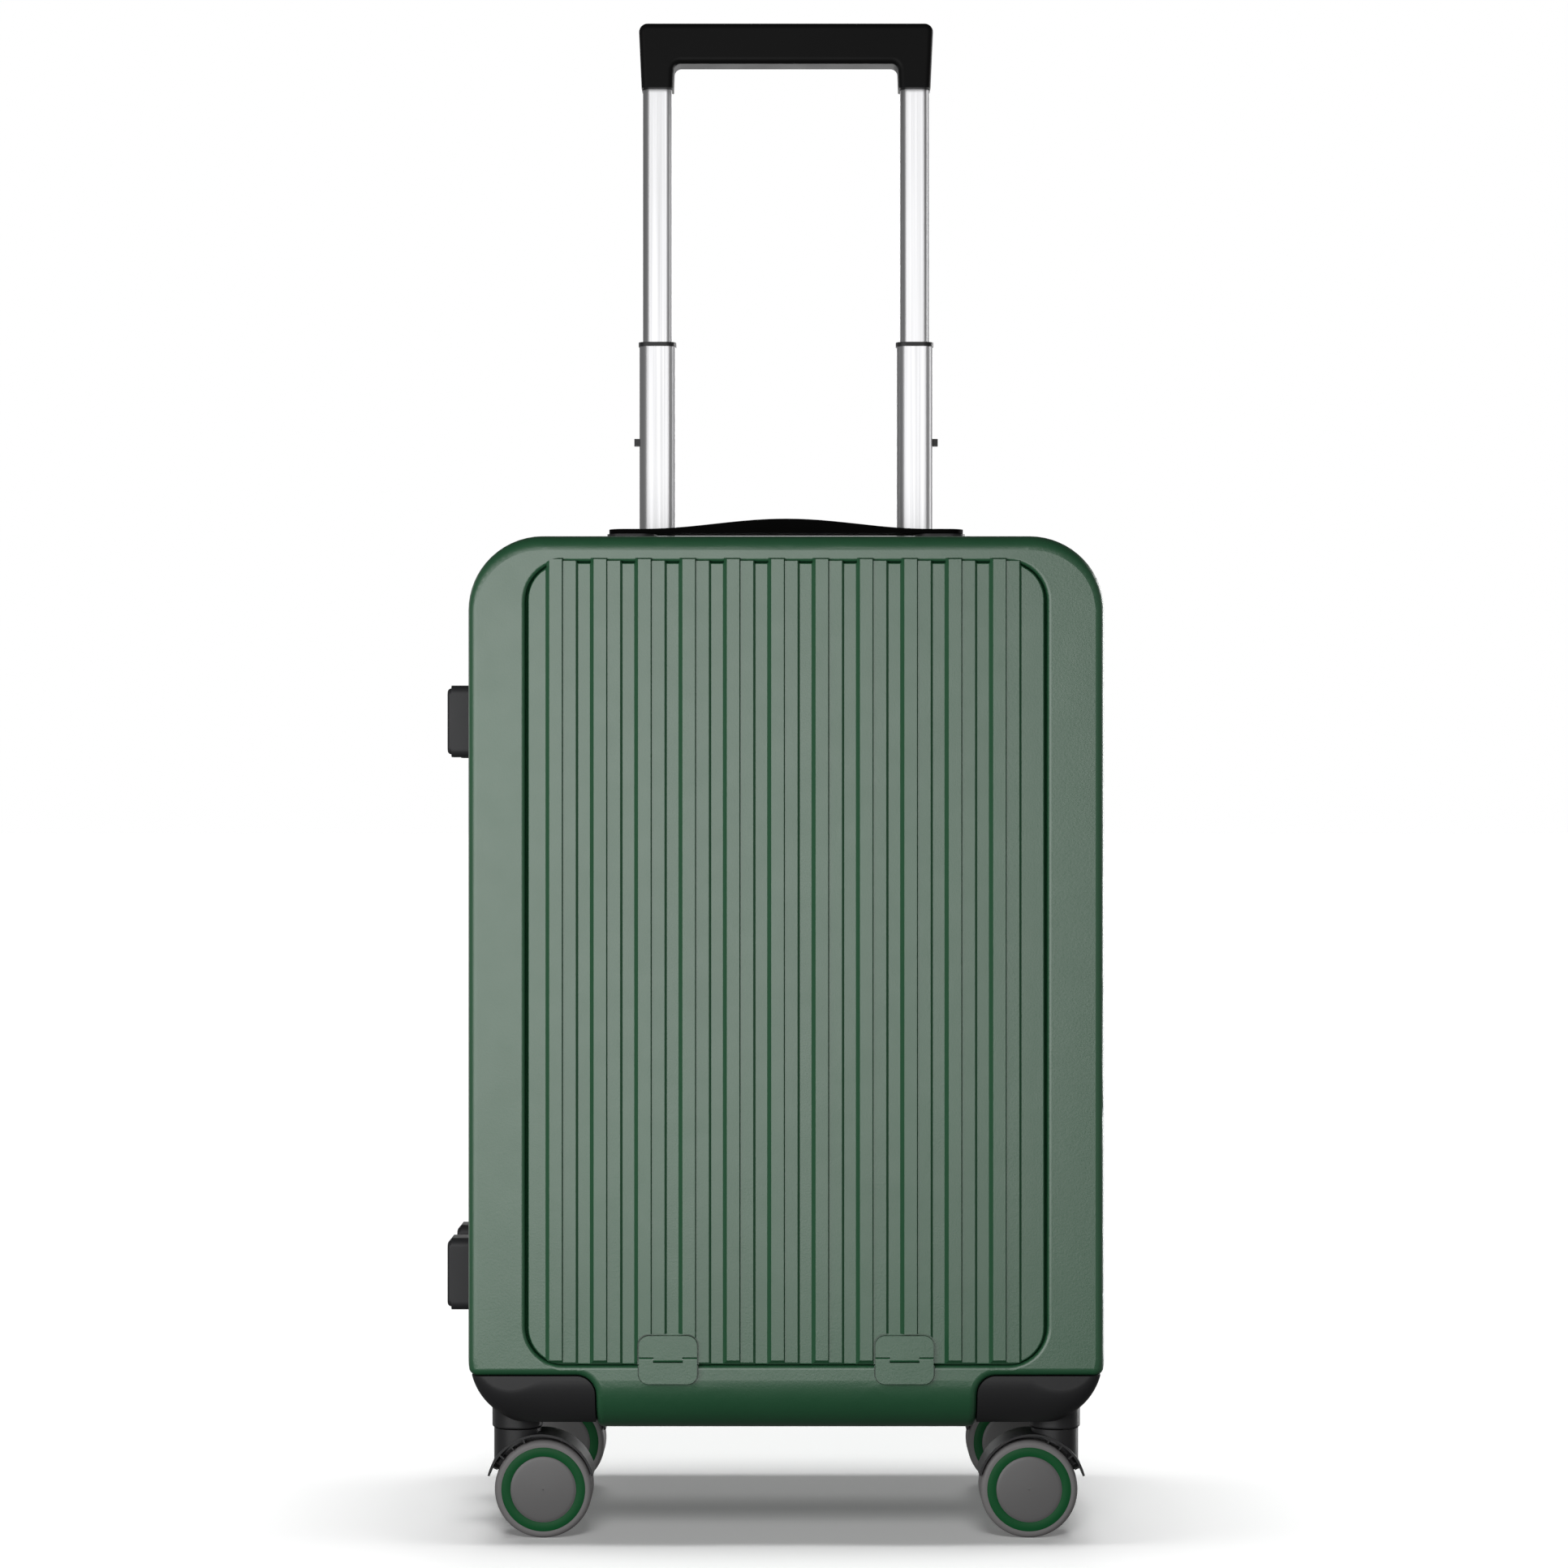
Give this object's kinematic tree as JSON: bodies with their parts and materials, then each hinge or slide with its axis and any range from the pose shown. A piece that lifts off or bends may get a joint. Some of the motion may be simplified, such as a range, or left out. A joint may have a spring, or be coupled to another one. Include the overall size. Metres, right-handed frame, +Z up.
{
  "type": "hard shell cabin suitcase",
  "caption": "Hard shell cabin suitcase with a ribbed front lid, telescopic handle, carry handle, side feet and swivelling twin-wheel casters.",
  "frame": {"origin": "on the ground, under the centre of the whole object's box", "axes": "+Z up, -Y to the front where the ribbed lid is, +X to the right as seen from the front"},
  "size_m": [0.3648, 0.229, 0.8555],
  "materials": {
    "shell": "satin moulded polycarbonate with a fine grain",
    "black_plastic": "satin moulded nylon",
    "grip_plastic": "soft matt moulded grip",
    "strap_rubber": "soft matt rubber over a steel core",
    "foot_plastic": "matt moulded rubbery plastic",
    "tyre_rubber": "matt grey polyurethane",
    "hub_plastic": "satin grey moulded plastic",
    "tube_aluminium": "bright anodised, drawn along its length",
    "steel": "plain turned steel",
    "zip_tape": "woven zipper tape with a nylon coil",
    "zip_metal": "dark plated metal",
    "lining": "plain woven polyester lining",
    "dial_plastic": "gloss black with light numbers"
  },
  "bodies": {
    "rear_half": {"rear_shell": "shell", "zip_tape_rear": "zip_tape", "hinge_gusset": "lining", "side_feet_rear": "foot_plastic", "lock_body": "black_plastic", "trolley_bezel": "black_plastic", "outer_tubes": "tube_aluminium", "tube_bracket": "black_plastic", "carry_handle_bases": "black_plastic", "caster_housing_rear_left": "black_plastic", "caster_housing_rear_right": "black_plastic"},
    "front_half": {"front_shell": "shell", "compartment_panel": "lining", "door_hinge_leaves_lower": "shell", "door_hinge_pins": "steel", "door_catches": "black_plastic", "zip_tape_front": "zip_tape", "side_feet_front": "foot_plastic", "caster_housing_front_left": "black_plastic", "caster_housing_front_right": "black_plastic"},
    "front_lid": {"front_door": "shell", "door_hinge_leaves_upper": "shell"},
    "middle_stage": {"middle_tubes": "tube_aluminium", "tube_collars": "black_plastic"},
    "inner_stage": {"inner_tubes": "tube_aluminium", "grip": "grip_plastic", "button_spring": "steel"},
    "handle_button": {"grip_button": "black_plastic", "push_rods": "steel"},
    "left_lock_pin": {"lock_pin_left": "black_plastic"},
    "right_lock_pin": {"lock_pin_right": "black_plastic"},
    "carry_strap": {"carry_handle": "strap_rubber"},
    "upper_slider": {"zip_slider_upper": "zip_metal"},
    "lower_slider": {"zip_slider_lower": "zip_metal"},
    "upper_pull": {"zip_pull_upper": "zip_metal"},
    "lower_pull": {"zip_pull_lower": "zip_metal"},
    "dial_1": {"lock_dial_1": "dial_plastic"},
    "dial_2": {"lock_dial_2": "dial_plastic"},
    "dial_3": {"lock_dial_3": "dial_plastic"},
    "release_button": {"lock_release": "black_plastic"},
    "caster_swivel_front_left": {"caster_fork_front_left": "black_plastic", "caster_stem_front_left": "steel"},
    "caster_wheels_front_left": {"caster_axle_front_left": "steel", "caster_hubs_front_left": "hub_plastic", "caster_tyres_front_left": "tyre_rubber"},
    "caster_swivel_front_right": {"caster_fork_front_right": "black_plastic", "caster_stem_front_right": "steel"},
    "caster_wheels_front_right": {"caster_axle_front_right": "steel", "caster_hubs_front_right": "hub_plastic", "caster_tyres_front_right": "tyre_rubber"},
    "caster_swivel_rear_left": {"caster_fork_rear_left": "black_plastic", "caster_stem_rear_left": "steel"},
    "caster_wheels_rear_left": {"caster_axle_rear_left": "steel", "caster_hubs_rear_left": "hub_plastic", "caster_tyres_rear_left": "tyre_rubber"},
    "caster_swivel_rear_right": {"caster_fork_rear_right": "black_plastic", "caster_stem_rear_right": "steel"},
    "caster_wheels_rear_right": {"caster_axle_rear_right": "steel", "caster_hubs_rear_right": "hub_plastic", "caster_tyres_rear_right": "tyre_rubber"}
  },
  "joints": [
    {"name": "case_opening", "type": "hinge", "parent": "rear_half", "child": "front_half", "pos_m": [-0.18515, 0, 0.3], "axis": [0, 0, -1], "range_deg": [0, 180]},
    {"name": "lid_opening", "type": "hinge", "parent": "front_half", "child": "front_lid", "pos_m": [0.00565, -0.1132, 0.1006], "axis": [1, 0, 0], "range_deg": [0, 90]},
    {"name": "middle_stage_slide", "type": "slide", "parent": "rear_half", "child": "middle_stage", "axis": [0, 0, 1], "range_m": [-0.149, 0.12]},
    {"name": "inner_stage_slide", "type": "slide", "parent": "middle_stage", "child": "inner_stage", "axis": [0, 0, 1], "range_m": [-0.148, 0]},
    {"name": "button_press", "type": "slide", "parent": "inner_stage", "child": "handle_button", "axis": [0, 0, -1], "range_m": [0, 0.004], "stiffness_N_per_m": 600, "springref_m": -0.002, "deforming": ["button_spring"]},
    {"name": "left_pin_slide", "type": "slide", "parent": "inner_stage", "child": "left_lock_pin", "axis": [1, 0, 0], "range_m": [0, 0.0036]},
    {"name": "right_pin_slide", "type": "slide", "parent": "inner_stage", "child": "right_lock_pin", "axis": [-1, 0, 0], "range_m": [0, 0.0036]},
    {"name": "carry_lift", "type": "slide", "parent": "rear_half", "child": "carry_strap", "axis": [0, 0, 1], "range_m": [0, 0.014], "stiffness_N_per_m": 900, "springref_m": -0.001},
    {"name": "upper_slider_travel", "type": "slide", "parent": "rear_half", "child": "upper_slider", "axis": [0, 0, 1], "range_m": [0, 0.13]},
    {"name": "lower_slider_travel", "type": "slide", "parent": "rear_half", "child": "lower_slider", "axis": [0, 0, -1], "range_m": [0, 0.12]},
    {"name": "upper_pull_swing", "type": "hinge", "parent": "upper_slider", "child": "upper_pull", "pos_m": [0.18155, 0, 0.356], "axis": [0, -1, 0], "range_deg": [0, 170]},
    {"name": "lower_pull_swing", "type": "hinge", "parent": "lower_slider", "child": "lower_pull", "pos_m": [0.18155, 0, 0.254], "axis": [0, -1, 0], "range_deg": [0, 170]},
    {"name": "dial_1_turn", "type": "hinge", "parent": "rear_half", "child": "dial_1", "pos_m": [0.17395, 0.02, 0.2805], "axis": [0, 0, 1], "continuous": true},
    {"name": "dial_2_turn", "type": "hinge", "parent": "rear_half", "child": "dial_2", "pos_m": [0.17395, 0.02, 0.2895], "axis": [0, 0, 1], "continuous": true},
    {"name": "dial_3_turn", "type": "hinge", "parent": "rear_half", "child": "dial_3", "pos_m": [0.17395, 0.02, 0.2985], "axis": [0, 0, 1], "continuous": true},
    {"name": "release_press", "type": "slide", "parent": "rear_half", "child": "release_button", "axis": [0, 0, 1], "range_m": [0, 0.004], "stiffness_N_per_m": 300, "springref_m": -0.001},
    {"name": "caster_swivel_front_left", "type": "hinge", "parent": "front_half", "child": "caster_swivel_front_left", "pos_m": [-0.14105, -0.076, 0.06], "axis": [0, 0, 1], "continuous": true},
    {"name": "wheel_spin_front_left", "type": "hinge", "parent": "caster_swivel_front_left", "child": "caster_wheels_front_left", "pos_m": [-0.12635, -0.076, 0.0265], "axis": [0, 1, 0], "continuous": true},
    {"name": "caster_swivel_front_right", "type": "hinge", "parent": "front_half", "child": "caster_swivel_front_right", "pos_m": [0.15235, -0.076, 0.06], "axis": [0, 0, 1], "continuous": true},
    {"name": "wheel_spin_front_right", "type": "hinge", "parent": "caster_swivel_front_right", "child": "caster_wheels_front_right", "pos_m": [0.13765, -0.076, 0.0265], "axis": [0, 1, 0], "continuous": true},
    {"name": "caster_swivel_rear_left", "type": "hinge", "parent": "rear_half", "child": "caster_swivel_rear_left", "pos_m": [-0.14105, 0.076, 0.06], "axis": [0, 0, 1], "continuous": true},
    {"name": "wheel_spin_rear_left", "type": "hinge", "parent": "caster_swivel_rear_left", "child": "caster_wheels_rear_left", "pos_m": [-0.12635, 0.076, 0.0265], "axis": [0, 1, 0], "continuous": true},
    {"name": "caster_swivel_rear_right", "type": "hinge", "parent": "rear_half", "child": "caster_swivel_rear_right", "pos_m": [0.15235, 0.076, 0.06], "axis": [0, 0, 1], "continuous": true},
    {"name": "wheel_spin_rear_right", "type": "hinge", "parent": "caster_swivel_rear_right", "child": "caster_wheels_rear_right", "pos_m": [0.13765, 0.076, 0.0265], "axis": [0, 1, 0], "continuous": true}
  ],
  "couplings": [
    {"joint": "left_pin_slide", "follows": "button_press", "ratio": 0.9},
    {"joint": "right_pin_slide", "follows": "button_press", "ratio": 0.9}
  ]
}
